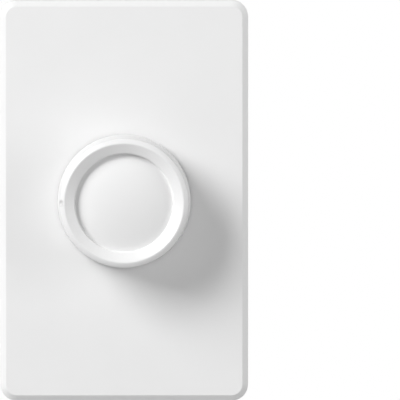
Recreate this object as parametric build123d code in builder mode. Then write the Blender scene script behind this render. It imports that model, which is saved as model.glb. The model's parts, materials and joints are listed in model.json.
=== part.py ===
from build123d import *
import math
import os

os.makedirs("parts", exist_ok=True)

# Rotary fan speed control for a one-gang wall box, in millimetres and degrees.
# The wall's surface is the XZ plane. The control faces -Y, +Z is up and +X is to the viewer's right.
# The origin is on the shaft's axis, on the wall's surface, midway between the two box screws.
# A forward value is a distance out of the wall towards the viewer, so forward f lies at y = -f.

# Clearances
face_clearance = 0.05
running_clearance = 0.05
assembly_clearance = 0.3

# Faceplate
plate_width = 70.8
plate_height = 114.3
plate_depth = 7.0
plate_corner_radius = 4.8
plate_wall = 2.0
plate_face_thickness = 2.0
plate_draft = 1.0
bevel_inset = 1.6
bevel_drop = 1.15
bevel_blend_radius = 0.5
shaft_hole_clearance = 1.3
rib_thickness = 1.4
rib_inset = 5.5
hook_offset_x = 14.0
hook_width = 5.0
hook_thickness = 1.3
hook_barb = 0.9
hook_barb_length = 2.2
hook_barb_clearance = 0.2
hook_side_clearance = 0.4
hook_stand_off = 2.0

# Knob
knob_radius = 18.95
knob_height = 16.4
knob_gap = 0.6
knob_wall = 1.6
knob_crest_wall = 1.9
shoulder_radius = 18.3
crest_radius = 16.85
lip_radius = 14.15
dish_angle = 30.0
rim_angle = 30.0
rim_bulge = 0.07
step_height = 2.0
dome_radius = 46.0
crest_blend_radius = 0.6
shoulder_blend_radius = 0.45
floor_blend_radius = 0.4
hub_radius = 5.2
hub_recess = 1.8
knob_rib_count = 6
knob_rib_thickness = 1.1
knob_rib_recess = 6.9
hub_slit_width = 1.0
indicator_radius = 17.8
indicator_width = 1.6
indicator_depth = 0.25

# Spring ring that closes the slit hub onto the shaft
ring_wire = 0.9
ring_gap_angle = 70.0
ring_setback = 1.0

# Shaft and threaded bushing
shaft_radius = 3.0
shaft_grip = 9.5
shaft_flat_depth = 1.0
shaft_end_chamfer = 0.5
bushing_radius = 4.75
bushing_length = 6.4
bushing_chamfer = 0.6
nut_across_flats = 12.7
nut_thickness = 2.4
washer_radius = 6.6
washer_thickness = 0.6
washer_tooth_count = 10
washer_tooth_width = 1.2
clip_thickness = 0.5
clip_radius = 4.4
clip_groove_depth = 0.4
clip_gap_angle = 80.0

# Yoke, which is also the heat sink
yoke_side_margin = 1.9
yoke_end_margin = 2.65
yoke_thickness = 1.5
fin_width = 9.0
fin_height = 84.0
fin_corner_radius = 3.0
ear_width = 42.0
ear_corner_radius = 7.0
score_width = 1.0
score_depth = 0.6

# Box screws
screw_spacing = 83.34
screw_thread_radius = 1.75
screw_neck_radius = 1.45
screw_reach = 19.0
screw_tip_chamfer = 0.6
screw_head_radius = 3.4
screw_head_rim = 0.9
screw_head_crown = 1.0
screw_slot_width = 1.1
screw_slot_depth = 1.0
box_slot_width = 3.8
box_slot_length = 7.0
retainer_radius = 4.2
retainer_thickness = 0.4

# Ground screw
ground_offset_x = 7.0
ground_across_flats = 6.4
ground_head_height = 2.2
ground_thread_radius = 1.6

# Back housing
housing_wall = 2.0
housing_floor = 2.2
housing_corner_radius = 3.4
housing_edge_radius = 1.2
housing_draft = 0.6
post_radius = 2.7
post_overlap = 0.9
outlet_radius = 1.9
outlet_collar_wall = 1.5
outlet_collar_height = 1.5
outlet_offset_x = 8.0
outlet_offset_z = 21.0
ledge_width = 1.8
ledge_height = 7.0
ledge_offset_z = 11.0
sheet_thickness = 0.25

# Screws that hold the housing to the yoke
case_screw_radius = 1.4
case_screw_length = 11.0
case_screw_head_radius = 2.5
case_screw_head_rim = 0.6
case_screw_head_crown = 0.7

# Circuit board
board_width = 36.0
bay_height = 16.3
board_thickness = 1.6
board_setback = 17.0
board_tail_room = 3.6
pin_radius = 0.35
pin_tail = 1.5

# Potentiometer
can_radius = 14.0
can_wall = 0.5
can_length = 10.6
flange_thickness = 1.6
locating_tab_radius = 1.0
locating_tab_offset = 11.0
wafer_thickness = 1.2
wafer_tongue_width = 14.0
wafer_tongue_drop = 3.5
track_thickness = 0.15
track_inner_radius = 8.5
track_outer_radius = 11.0
collector_inner_radius = 5.2
collector_outer_radius = 6.8
shaft_collar_radius = 4.2
shaft_drive_flats = 4.6
rotor_radius = 11.0
rotor_thickness = 1.6
rotor_lug_width = 2.4
wiper_thickness = 0.3
wiper_width = 2.4
wiper_bead_radius = 0.5
wiper_stand_off = 1.0
terminal_pitch = 5.0
terminal_width = 1.8
terminal_thickness = 0.4

# Turning range: the rest position is the indicator at nine o'clock, and the two end stops are as far
# either side of six o'clock.
stop_half_angle = 30.0

# Switch on the back of the potentiometer
switch_flange_thickness = 1.4
switch_back_thickness = 2.0
stop_block_wall = 1.5
dog_inner_radius = 7.0
dog_outer_radius = 9.0
dog_width = 2.2
dog_length = 2.8
lever_pivot_radius = 10.2
lever_pin_radius = 0.7
lever_boss_radius = 1.25
lever_thickness = 1.4
lever_head_left = 2.4
lever_head_right = 1.0
lever_head_height = 1.2
lever_stem_width = 1.6
lever_arm_length = 3.6
lever_arm_thickness = 0.9
blade_angle = 18.0
blade_length = 7.9
blade_thickness = 0.3
blade_width = 1.0
contact_height = 0.3
contact_half_width = 0.5
fixed_contact_start = 7.0
fixed_contact_width = 1.4
fixed_contact_thickness = 0.4

# Semiconductor and its fixing
triac_length = 9.2
triac_width = 10.2
triac_thickness = 4.4
triac_tab_length = 6.5
triac_tab_thickness = 1.3
triac_leg_pitch = 2.54
triac_leg_thickness = 0.5
triac_leg_run = 2.6
triac_leg_gap = 0.65
thermal_pad_margin = 0.4
thermal_pad_thickness = 0.3
rivet_radius = 1.6
rivet_head_radius = 2.8
rivet_head_height = 0.7

# Choke
choke_outer_radius = 6.8
choke_inner_radius = 3.6
choke_height = 6.4
choke_wire = 0.9
choke_turns = 14

# Capacitors, resistors, trigger diode and trimmer
line_capacitor_width = 7.0
line_capacitor_length = 13.0
line_capacitor_height = 11.5
line_capacitor_leg_pitch = 10.0
small_capacitor_width = 7.2
small_capacitor_length = 3.4
small_capacitor_height = 7.0
small_capacitor_margin = 4.1
small_capacitor_leg_pitch = 5.0
capacitor_edge_radius = 0.5
resistor_radius = 1.15
resistor_length = 6.3
diode_radius = 0.9
diode_length = 3.8
axial_lead_run = 1.9
trimmer_margin = 3.3
trimmer_width = 7.0
trimmer_leg_pitch = 5.0
trimmer_height = 4.4
trimmer_rotor_radius = 2.2
trimmer_rotor_height = 1.6
trimmer_rotor_seat = 0.8
trimmer_slot_width = 0.7
trimmer_access_radius = 2.2

# Places worked out from the sizes above, as forward values unless the name says otherwise
plate_ceiling = plate_depth - plate_face_thickness
yoke_width = plate_width - 2 * (plate_wall + yoke_side_margin)
yoke_height = plate_height - 2 * (plate_wall + yoke_end_margin)
knob_rear = plate_depth + knob_gap
knob_crest = knob_rear + knob_height
lip_forward = knob_crest - (crest_radius - lip_radius) * math.tan(math.radians(dish_angle))
shoulder_forward = knob_crest - (shoulder_radius - crest_radius) * math.tan(math.radians(rim_angle))
dish_floor_edge = lip_forward - step_height
rim_middle_radius = (crest_radius + shoulder_radius) / 2 + rim_bulge * math.sin(math.radians(rim_angle))
rim_middle_forward = (knob_crest + shoulder_forward) / 2 + rim_bulge * math.cos(math.radians(rim_angle))
hub_rear = knob_rear + hub_recess
shaft_front = hub_rear + shaft_grip
screw_z = screw_spacing / 2
board_front = -board_setback
board_rear = board_front - board_thickness
pin_end = board_rear - pin_tail
cavity_width = board_width + 2 * assembly_clearance
cavity_height = 2 * (can_radius + bay_height)
board_height = cavity_height - 2 * assembly_clearance
housing_width = cavity_width + 2 * housing_wall
housing_height = cavity_height + 2 * housing_wall
housing_depth = board_setback + board_thickness + board_tail_room + housing_floor
post_x = cavity_width / 2 - post_radius + post_overlap
post_z = cavity_height / 2 - post_radius + post_overlap
hook_z = (
    housing_height / 2 + hook_stand_off + assembly_clearance + hook_side_clearance + hook_thickness / 2
)
flange_radius = can_radius - can_wall - face_clearance
wafer_front = -flange_thickness - face_clearance
wafer_rear = wafer_front - wafer_thickness
track_rear = wafer_rear - track_thickness
wiper_rear = track_rear - wiper_stand_off
rotor_rear = wiper_rear - rotor_thickness
dog_rear = rotor_rear - dog_length
can_rear = -assembly_clearance - can_length
switch_front = can_rear + switch_flange_thickness
lever_rear = dog_rear + assembly_clearance
lever_front = lever_rear + lever_thickness
stop_block_outer = flange_radius - assembly_clearance
stop_block_inner = stop_block_outer - stop_block_wall
top_bay_z = can_radius + bay_height / 2
bottom_bay_z = -top_bay_z
line_capacitor_x = post_x - post_radius - assembly_clearance - line_capacitor_width / 2
small_capacitor_x = -cavity_width / 2 + small_capacitor_margin + small_capacitor_width / 2
trimmer_x = cavity_width / 2 - trimmer_margin - trimmer_width / 2
signs = (-1, 1)
corners = [(x, z) for x in signs for z in signs]

# The holes that the circuit board needs, added by each piece with a leg through it
board_holes = []

section = Plane(origin=(0, 0, 0), x_dir=(1, 0, 0), z_dir=(0, 0, -1))


def front(forward):
    """A plane parallel to the wall, seen from the front: local x is +X, local y is +Z."""
    return Plane.XZ.offset(forward)


def rear(forward):
    """A plane parallel to the wall, seen from behind: local x is -X, local y is +Z."""
    return Plane(origin=(0, -forward, 0), x_dir=(-1, 0, 0), z_dir=(0, 1, 0))


def side(x):
    """A plane square to X: local x is +Z, local y is forward."""
    return Plane(origin=(x, 0, 0), x_dir=(0, 0, 1), z_dir=(1, 0, 0))


def cross_section(z, x=0):
    """A plane square to Z: local x is +X, counted from x, and local y is forward. Its normal points down."""
    return Plane(origin=(x, 0, z), x_dir=(1, 0, 0), z_dir=(0, 0, -1))


def axis_at(x, z):
    """The line square to the wall through a point of the front view."""
    return Axis((x, 0, z), (0, 1, 0))


def dome_drop(radius, distance):
    """How far a sphere has fallen away from its top at a distance from its axis."""
    return radius - math.sqrt(radius**2 - distance**2)


def crown_radius(half_width, crown):
    """The radius of a domed head from its half width and its height."""
    return (half_width**2 + crown**2) / (2 * crown)


def wedge(angle_from, angle_to, reach):
    """A pie slice of the front view, wide enough to cut a ring with, for use in a sketch."""
    middle = (angle_from + angle_to) / 2
    points = [(0, 0)]
    for angle in (angle_from, middle, angle_to):
        points.append((reach * math.cos(math.radians(angle)), reach * math.sin(math.radians(angle))))
    return points


def leg(x, z, start):
    """One straight round leg from a forward value through the circuit board."""
    with BuildSketch(front(start)) as wire:
        with Locations((x, z)):
            Circle(pin_radius)
    extrude(wire.sketch, amount=pin_end - start)
    board_holes.append((x, z, pin_radius + running_clearance))


def write(piece, name):
    """Label a finished piece and write it to its own file."""
    piece.part.label = name
    export_step(piece.part, f"parts/{name}.step")


# Faceplate: a drafted shell with a flat bevel all round, snap hooks and stiffening ribs
shaft_hole_radius = bushing_radius + shaft_hole_clearance
nut_corner_radius = nut_across_flats / 2 / math.cos(math.radians(30))
plate_ring_inner = nut_corner_radius + assembly_clearance
rib_rear = yoke_thickness + assembly_clearance
rib_x = yoke_width / 2 - rib_inset
hook_tip = -hook_barb_clearance - hook_barb_length

with BuildPart() as faceplate:
    with BuildSketch(front(0)):
        RectangleRounded(plate_width, plate_height, plate_corner_radius)
    extrude(amount=plate_depth, taper=plate_draft)
    plate_face = faceplate.faces().sort_by(Axis.Y)[0]
    chamfer(plate_face.edges(), length=bevel_inset, length2=bevel_drop, reference=plate_face)
    fillet(faceplate.faces().sort_by(Axis.Y)[0].edges(), radius=bevel_blend_radius)
    with BuildSketch(front(0)):
        RectangleRounded(
            plate_width - 2 * plate_wall, plate_height - 2 * plate_wall, plate_corner_radius - plate_wall
        )
    extrude(amount=plate_ceiling, taper=plate_draft, mode=Mode.SUBTRACT)
    with BuildSketch(front(rib_rear)):
        Circle(plate_ring_inner + rib_thickness)
        with Locations((-rib_x, 0), (rib_x, 0)):
            Rectangle(rib_thickness, fin_height - 2 * fin_corner_radius)
    extrude(amount=plate_ceiling - rib_rear)
    with BuildSketch(front(rib_rear)):
        Circle(plate_ring_inner)
    extrude(amount=plate_ceiling - rib_rear, mode=Mode.SUBTRACT)
    with BuildSketch(front(plate_ceiling)):
        Circle(shaft_hole_radius)
    extrude(amount=plate_face_thickness, mode=Mode.SUBTRACT)
    for x, z in corners:
        outer = z * (hook_z + hook_thickness / 2)
        inner = z * (hook_z - hook_thickness / 2)
        with BuildSketch(side(x * hook_offset_x)):
            with BuildLine():
                Polyline(
                    (inner, plate_ceiling),
                    (outer, plate_ceiling),
                    (outer, -hook_barb_clearance),
                    (outer + z * hook_barb, -hook_barb_clearance),
                    (outer, hook_tip),
                    (inner, hook_tip),
                    close=True,
                )
            make_face()
        extrude(amount=hook_width / 2, both=True)
write(faceplate, "faceplate")

# Knob: a drafted skirt with a dished front, a low dome in the dish, and a ribbed hollow behind
dome_apex = dish_floor_edge + dome_drop(dome_radius, lip_radius)
knob_rib_rear = knob_rear + knob_rib_recess
knob_bore_radius = shaft_radius + running_clearance

with BuildPart() as knob_hollow:
    with BuildSketch(section):
        with BuildLine():
            half = lip_radius / 2
            ThreePointArc(
                (0, dome_apex - knob_wall),
                (half, dome_apex - knob_wall - dome_drop(dome_radius, half)),
                (lip_radius, dish_floor_edge - knob_wall),
            )
            Polyline(
                (lip_radius, dish_floor_edge - knob_wall),
                (shoulder_radius - knob_wall, knob_crest - knob_crest_wall),
                (knob_radius - knob_wall, knob_rear),
                (0, knob_rear),
                (0, dome_apex - knob_wall),
            )
        make_face()
    revolve(axis=Axis.Y)
    with BuildSketch(front(hub_rear)):
        Circle(hub_radius)
    extrude(amount=dome_apex - hub_rear, mode=Mode.SUBTRACT)
    with BuildSketch(front(knob_rib_rear)):
        with PolarLocations(knob_radius / 2, knob_rib_count, start_angle=90):
            Rectangle(knob_radius, knob_rib_thickness)
    extrude(amount=knob_crest - knob_rib_rear, mode=Mode.SUBTRACT)

with BuildPart() as knob:
    with BuildSketch(section) as knob_profile:
        with BuildLine():
            ThreePointArc(
                (0, dome_apex),
                (half, dome_apex - dome_drop(dome_radius, half)),
                (lip_radius, dish_floor_edge),
            )
            Polyline(
                (lip_radius, dish_floor_edge),
                (lip_radius, lip_forward),
                (crest_radius, knob_crest),
            )
            ThreePointArc(
                (crest_radius, knob_crest),
                (rim_middle_radius, rim_middle_forward),
                (shoulder_radius, shoulder_forward),
            )
            Polyline(
                (shoulder_radius, shoulder_forward),
                (knob_radius, knob_rear),
                (0, knob_rear),
                (0, dome_apex),
            )
        make_face()
        blends = (
            (lip_radius, dish_floor_edge, floor_blend_radius),
            (crest_radius, knob_crest, crest_blend_radius),
            (shoulder_radius, shoulder_forward, shoulder_blend_radius),
        )
        for radius_at, forward_at, blend in blends:
            fillet(knob_profile.vertices().sort_by_distance((radius_at, forward_at))[0], radius=blend)
    revolve(axis=Axis.Y)
    add(knob_hollow.part, mode=Mode.SUBTRACT)
    # The bore has a flat that matches the shaft's
    with BuildSketch(front(hub_rear)):
        Circle(knob_bore_radius)
        with Locations((0, knob_bore_radius)):
            Rectangle(2 * knob_bore_radius, 2 * shaft_flat_depth, mode=Mode.SUBTRACT)
    extrude(amount=shaft_grip + assembly_clearance, mode=Mode.SUBTRACT)
    # A seat for the spring ring and a slit across the hub, so that it can close on the shaft
    ring_seat_radius = hub_radius - ring_wire / 2
    with BuildSketch(front(hub_rear + ring_setback)):
        Circle(hub_radius)
        Circle(ring_seat_radius, mode=Mode.SUBTRACT)
    extrude(amount=ring_wire + 2 * face_clearance, mode=Mode.SUBTRACT)
    with BuildSketch(front(hub_rear)):
        Rectangle(2 * hub_radius, hub_slit_width)
    extrude(amount=knob_rib_rear - hub_rear, mode=Mode.SUBTRACT)
    # The indicator is a shallow round dimple on the rim at nine o'clock, cut square to the rim's slope
    indicator_forward = knob_crest - (indicator_radius - crest_radius) * math.tan(math.radians(rim_angle))
    ball_radius = ((indicator_width / 2) ** 2 + indicator_depth**2) / (2 * indicator_depth)
    ball_stand_off = ball_radius - indicator_depth + rim_bulge
    ball_x = -indicator_radius - ball_stand_off * math.sin(math.radians(rim_angle))
    ball_forward = indicator_forward + ball_stand_off * math.cos(math.radians(rim_angle))
    with Locations((ball_x, -ball_forward, 0)):
        Sphere(ball_radius, mode=Mode.SUBTRACT)
write(knob, "knob")

with BuildPart() as knob_spring:
    with BuildSketch(front(hub_rear + ring_setback + face_clearance)):
        Circle(ring_seat_radius + running_clearance + ring_wire)
        Circle(ring_seat_radius + running_clearance, mode=Mode.SUBTRACT)
        with BuildLine():
            Polyline(wedge(-90 - ring_gap_angle / 2, -90 + ring_gap_angle / 2, 2 * hub_radius), close=True)
        make_face(mode=Mode.SUBTRACT)
    extrude(amount=ring_wire)
write(knob_spring, "knob_spring")

# Shaft: turned in one piece, with a flat for the knob, a clip groove, a thrust collar and a flatted drive
clip_front = bushing_length + face_clearance + clip_thickness
groove_radius = shaft_radius - clip_groove_depth

with BuildPart() as control_shaft:
    with BuildSketch(section):
        with BuildLine():
            Polyline(
                (0, rotor_rear),
                (shaft_radius, rotor_rear),
                (shaft_radius, wiper_rear),
                (shaft_collar_radius, wiper_rear),
                (shaft_collar_radius, wafer_front),
                (shaft_radius, wafer_front),
                (shaft_radius, bushing_length + face_clearance / 2),
                (groove_radius, bushing_length + face_clearance / 2),
                (groove_radius, clip_front + face_clearance / 2),
                (shaft_radius, clip_front + face_clearance / 2),
                (shaft_radius, shaft_front - shaft_end_chamfer),
                (shaft_radius - shaft_end_chamfer, shaft_front),
                (0, shaft_front),
                close=True,
            )
        make_face()
    revolve(axis=Axis.Y)
    with BuildSketch(front(hub_rear)):
        with Locations((0, shaft_radius)):
            Rectangle(2 * shaft_radius, 2 * shaft_flat_depth)
    extrude(amount=shaft_grip, mode=Mode.SUBTRACT)
    with BuildSketch(front(wiper_rear)):
        Circle(shaft_radius)
        Rectangle(2 * shaft_radius, shaft_drive_flats, mode=Mode.SUBTRACT)
    extrude(amount=-rotor_thickness, mode=Mode.SUBTRACT)
write(control_shaft, "control_shaft")

with BuildPart() as shaft_clip:
    with BuildSketch(front(clip_front - clip_thickness)):
        Circle(clip_radius)
        Circle(groove_radius + running_clearance, mode=Mode.SUBTRACT)
        with BuildLine():
            Polyline(wedge(-90 - clip_gap_angle / 2, -90 + clip_gap_angle / 2, 2 * clip_radius), close=True)
        make_face(mode=Mode.SUBTRACT)
    extrude(amount=clip_thickness)
write(shaft_clip, "shaft_clip")

# Threaded bushing with the flange that carries the potentiometer
bushing_bore_radius = shaft_radius + running_clearance

with BuildPart() as pot_bushing:
    with BuildSketch(section):
        with BuildLine():
            Polyline(
                (bushing_bore_radius, -flange_thickness),
                (flange_radius, -flange_thickness),
                (flange_radius, 0),
                (bushing_radius, 0),
                (bushing_radius, bushing_length - bushing_chamfer),
                (bushing_radius - bushing_chamfer, bushing_length),
                (bushing_bore_radius, bushing_length),
                close=True,
            )
        make_face()
    revolve(axis=Axis.Y)
    with BuildSketch(front(0)):
        with Locations((0, locating_tab_offset)):
            Circle(locating_tab_radius)
    extrude(amount=yoke_thickness)
write(pot_bushing, "pot_bushing")

with BuildPart() as lock_washer:
    with BuildSketch(front(yoke_thickness)):
        Circle(washer_radius)
        Circle(washer_radius - washer_tooth_width, mode=Mode.SUBTRACT)
        with PolarLocations(washer_radius - washer_tooth_width, washer_tooth_count):
            Rectangle(washer_tooth_width, washer_tooth_width)
        Circle(bushing_radius + running_clearance, mode=Mode.SUBTRACT)
    extrude(amount=washer_thickness)
write(lock_washer, "lock_washer")

with BuildPart() as bushing_nut:
    with BuildSketch(front(yoke_thickness + washer_thickness)):
        RegularPolygon(nut_across_flats / 2, side_count=6, major_radius=False)
        Circle(bushing_radius + running_clearance, mode=Mode.SUBTRACT)
    extrude(amount=nut_thickness)
write(bushing_nut, "bushing_nut")

# Triac above the potentiometer, flat against the yoke with its tab to the left
triac_front = -thermal_pad_thickness
triac_span = triac_length + triac_tab_length
triac_right = line_capacitor_x - line_capacitor_width / 2 - triac_leg_gap - triac_leg_run
triac_left = triac_right - triac_span
triac_middle = (triac_left + triac_right) / 2
rivet_x = triac_left + triac_tab_length / 2

# Yoke: a wide aluminium strap with slotted ears and fins that break off along scored lines
score_x = yoke_width / 2 - fin_width
case_screw_hole_radius = case_screw_radius + running_clearance
ground_z = -hook_z
trimmer_z = bottom_bay_z

with BuildPart() as yoke:
    with BuildSketch(front(0)):
        RectangleRounded(yoke_width, fin_height, fin_corner_radius)
        RectangleRounded(ear_width, yoke_height, ear_corner_radius)
        with Locations((0, screw_z), (0, -screw_z)):
            SlotOverall(box_slot_length, box_slot_width, mode=Mode.SUBTRACT)
        Circle(bushing_radius + running_clearance, mode=Mode.SUBTRACT)
        with Locations((0, locating_tab_offset)):
            Circle(locating_tab_radius + running_clearance, mode=Mode.SUBTRACT)
        with Locations([(x * post_x, z * post_z) for x, z in corners]):
            Circle(case_screw_hole_radius, mode=Mode.SUBTRACT)
        with Locations([(x * hook_offset_x, z * hook_z) for x, z in corners]):
            Rectangle(
                hook_width + 2 * hook_side_clearance, hook_thickness + 2 * hook_side_clearance,
                mode=Mode.SUBTRACT,
            )
        with Locations((rivet_x, top_bay_z)):
            Circle(rivet_radius + running_clearance, mode=Mode.SUBTRACT)
        with Locations((trimmer_x, trimmer_z)):
            Circle(trimmer_access_radius, mode=Mode.SUBTRACT)
        with Locations((ground_offset_x, ground_z)):
            Circle(ground_thread_radius + face_clearance, mode=Mode.SUBTRACT)
    extrude(amount=yoke_thickness)
    for x in (-score_x, score_x):
        with BuildSketch(cross_section(fin_height / 2)):
            with BuildLine():
                Polyline(
                    (x - score_width / 2, yoke_thickness),
                    (x + score_width / 2, yoke_thickness),
                    (x, yoke_thickness - score_depth),
                    close=True,
                )
            make_face()
        extrude(amount=fin_height, mode=Mode.SUBTRACT)
write(yoke, "yoke")

# Box screws: oval heads in front of the yoke, an undercut neck in its slot, and a fibre washer behind it
# that keeps each screw captive
neck_end = -retainer_thickness - face_clearance
screw_head_front = yoke_thickness + screw_head_rim + screw_head_crown

with BuildPart() as box_screws:
    for z in (screw_z, -screw_z):
        with BuildSketch(cross_section(z)):
            with BuildLine():
                crown = crown_radius(screw_head_radius, screw_head_crown)
                half = screw_head_radius / 2
                ThreePointArc(
                    (0, screw_head_front),
                    (half, screw_head_front - dome_drop(crown, half)),
                    (screw_head_radius, yoke_thickness + screw_head_rim),
                )
                Polyline(
                    (screw_head_radius, yoke_thickness + screw_head_rim),
                    (screw_head_radius, yoke_thickness),
                    (screw_neck_radius, yoke_thickness),
                    (screw_neck_radius, neck_end),
                    (screw_thread_radius, neck_end),
                    (screw_thread_radius, -screw_reach + screw_tip_chamfer),
                    (screw_thread_radius - screw_tip_chamfer, -screw_reach),
                    (0, -screw_reach),
                    (0, screw_head_front),
                )
            make_face()
        revolve(axis=axis_at(0, z))
        with BuildSketch(front(screw_head_front)):
            with Locations((0, z)):
                Rectangle(2 * screw_head_radius, screw_slot_width)
        extrude(amount=-screw_slot_depth, mode=Mode.SUBTRACT)
write(box_screws, "box_screws")

with BuildPart() as screw_retainers:
    with BuildSketch(front(0)):
        with Locations((0, screw_z), (0, -screw_z)):
            Circle(retainer_radius)
            Circle(screw_neck_radius + face_clearance, mode=Mode.SUBTRACT)
    extrude(amount=-retainer_thickness)
write(screw_retainers, "screw_retainers")

with BuildPart() as ground_screw:
    with BuildSketch(front(0)):
        with Locations((ground_offset_x, ground_z)):
            RegularPolygon(ground_across_flats / 2, side_count=6, major_radius=False)
    extrude(amount=-ground_head_height)
    with BuildSketch(front(0)):
        with Locations((ground_offset_x, ground_z)):
            Circle(ground_thread_radius)
    extrude(amount=yoke_thickness)
    with BuildSketch(front(-ground_head_height)):
        with Locations((ground_offset_x, ground_z)):
            Rectangle(2 * ground_across_flats, screw_slot_width)
    extrude(amount=screw_slot_depth, mode=Mode.SUBTRACT)
write(ground_screw, "ground_screw")

# Back housing: a drafted moulding with corner posts for the screws, ledges for the board and two collared
# outlets for the supply leads
housing_inside = -housing_depth + housing_floor
outlet_rear = -housing_depth - outlet_collar_height
post_clear_radius = post_radius + assembly_clearance
notch_width = 2 * (cavity_width / 2 - post_x + assembly_clearance)
notch_height = 2 * (cavity_height / 2 - post_z + assembly_clearance)

with BuildPart() as housing_hollow:
    with BuildSketch(rear(0)):
        Rectangle(cavity_width, cavity_height)
    extrude(amount=-housing_inside, taper=housing_draft)
    with BuildSketch(rear(0)):
        with Locations([(x * post_x, z * post_z) for x, z in corners]):
            Circle(post_radius)
        for x, z in corners:
            with Locations((x * cavity_width / 2, z * cavity_height / 2)):
                Rectangle(2 * (cavity_width / 2 - post_x), 2 * post_radius)
                Rectangle(2 * post_radius, 2 * (cavity_height / 2 - post_z))
    extrude(amount=-housing_inside, mode=Mode.SUBTRACT)
    with BuildSketch(rear(board_rear)):
        with Locations([(x * cavity_width / 2, z * ledge_offset_z) for x, z in corners]):
            Rectangle(2 * ledge_width, ledge_height)
    extrude(amount=board_rear - housing_inside, mode=Mode.SUBTRACT)

with BuildPart() as housing:
    with BuildSketch(rear(0)):
        RectangleRounded(housing_width, housing_height, housing_corner_radius)
    extrude(amount=housing_depth, taper=housing_draft)
    fillet(housing.faces().sort_by(Axis.Y)[-1].edges(), radius=housing_edge_radius)
    with BuildSketch(rear(-housing_depth)):
        with Locations((-outlet_offset_x, -outlet_offset_z), (outlet_offset_x, -outlet_offset_z)):
            Circle(outlet_radius + outlet_collar_wall)
    extrude(amount=outlet_collar_height)
    add(housing_hollow.part, mode=Mode.SUBTRACT)
    with BuildSketch(rear(outlet_rear)):
        with Locations((-outlet_offset_x, -outlet_offset_z), (outlet_offset_x, -outlet_offset_z)):
            Circle(outlet_radius)
    extrude(amount=-housing_floor - outlet_collar_height, mode=Mode.SUBTRACT)
    with BuildSketch(rear(0)):
        with Locations([(x * post_x, z * post_z) for x, z in corners]):
            Circle(case_screw_radius + face_clearance)
    extrude(amount=case_screw_length - yoke_thickness + assembly_clearance, mode=Mode.SUBTRACT)
write(housing, "housing")

with BuildPart() as housing_screws:
    case_head_front = yoke_thickness + case_screw_head_rim + case_screw_head_crown
    for x, z in corners:
        with BuildSketch(cross_section(z * post_z, x * post_x)):
            with BuildLine():
                crown = crown_radius(case_screw_head_radius, case_screw_head_crown)
                half = case_screw_head_radius / 2
                ThreePointArc(
                    (0, case_head_front),
                    (half, case_head_front - dome_drop(crown, half)),
                    (case_screw_head_radius, yoke_thickness + case_screw_head_rim),
                )
                Polyline(
                    (case_screw_head_radius, yoke_thickness + case_screw_head_rim),
                    (case_screw_head_radius, yoke_thickness),
                    (case_screw_radius, yoke_thickness),
                    (case_screw_radius, yoke_thickness - case_screw_length),
                    (0, yoke_thickness - case_screw_length),
                    (0, case_head_front),
                )
            make_face()
        revolve(axis=axis_at(x * post_x, z * post_z))
    with BuildSketch(front(case_head_front)):
        with Locations([(x * post_x, z * post_z) for x, z in corners]):
            Rectangle(2 * case_screw_head_radius, screw_slot_width / 2)
            Rectangle(screw_slot_width / 2, 2 * case_screw_head_radius)
    extrude(amount=-screw_slot_depth, mode=Mode.SUBTRACT)
write(housing_screws, "housing_screws")

with BuildPart() as insulating_sheet:
    with BuildSketch(front(0)):
        Rectangle(board_width, board_height)
        with Locations([(x * post_x, z * post_z) for x, z in corners]):
            Circle(post_clear_radius, mode=Mode.SUBTRACT)
        with Locations([(x * cavity_width / 2, z * cavity_height / 2) for x, z in corners]):
            Rectangle(notch_width, 2 * post_clear_radius, mode=Mode.SUBTRACT)
            Rectangle(2 * post_clear_radius, notch_height, mode=Mode.SUBTRACT)
        Circle(can_radius + assembly_clearance, mode=Mode.SUBTRACT)
        with Locations((triac_middle, top_bay_z)):
            pad_clear = 2 * (thermal_pad_margin + assembly_clearance)
            Rectangle(triac_span + pad_clear, triac_width + pad_clear, mode=Mode.SUBTRACT)
        with Locations((trimmer_x, trimmer_z)):
            Circle(trimmer_access_radius, mode=Mode.SUBTRACT)
    extrude(amount=-sheet_thickness)
write(insulating_sheet, "insulating_sheet")

# Potentiometer: can, track wafer, contact rings, and the rotor that carries the wiper
tongue_end = -can_radius - wafer_tongue_drop

with BuildPart() as pot_can:
    with BuildSketch(front(-assembly_clearance)):
        Circle(can_radius)
        Circle(can_radius - can_wall, mode=Mode.SUBTRACT)
    extrude(amount=-can_length)
    with BuildSketch(front(-assembly_clearance)):
        with Locations((0, -can_radius)):
            Rectangle(wafer_tongue_width + 2 * assembly_clearance, can_radius)
    extrude(amount=wafer_rear - terminal_thickness, mode=Mode.SUBTRACT)
write(pot_can, "pot_can")

with BuildPart() as track_wafer:
    with BuildSketch(front(wafer_front)):
        Circle(flange_radius)
        with Locations((0, tongue_end / 2)):
            Rectangle(wafer_tongue_width, -tongue_end)
        Circle(shaft_collar_radius + assembly_clearance, mode=Mode.SUBTRACT)
    extrude(amount=-wafer_thickness)
write(track_wafer, "track_wafer")

with BuildPart() as resistive_track:
    with BuildSketch(front(wafer_rear)):
        Circle(track_outer_radius)
        Circle(track_inner_radius, mode=Mode.SUBTRACT)
        with BuildLine():
            Polyline(wedge(-90 - stop_half_angle, -90 + stop_half_angle, 2 * track_outer_radius), close=True)
        make_face(mode=Mode.SUBTRACT)
    extrude(amount=-track_thickness)
write(resistive_track, "resistive_track")

with BuildPart() as collector_ring:
    with BuildSketch(front(wafer_rear)):
        Circle(collector_outer_radius)
        Circle(collector_inner_radius, mode=Mode.SUBTRACT)
    extrude(amount=-track_thickness)
write(collector_ring, "collector_ring")

# The rotor's lug meets the stops and its dog works the switch. Both point at nine o'clock at rest.
lug_reach = stop_block_outer - running_clearance
dog_middle = (dog_inner_radius + dog_outer_radius) / 2

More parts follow.
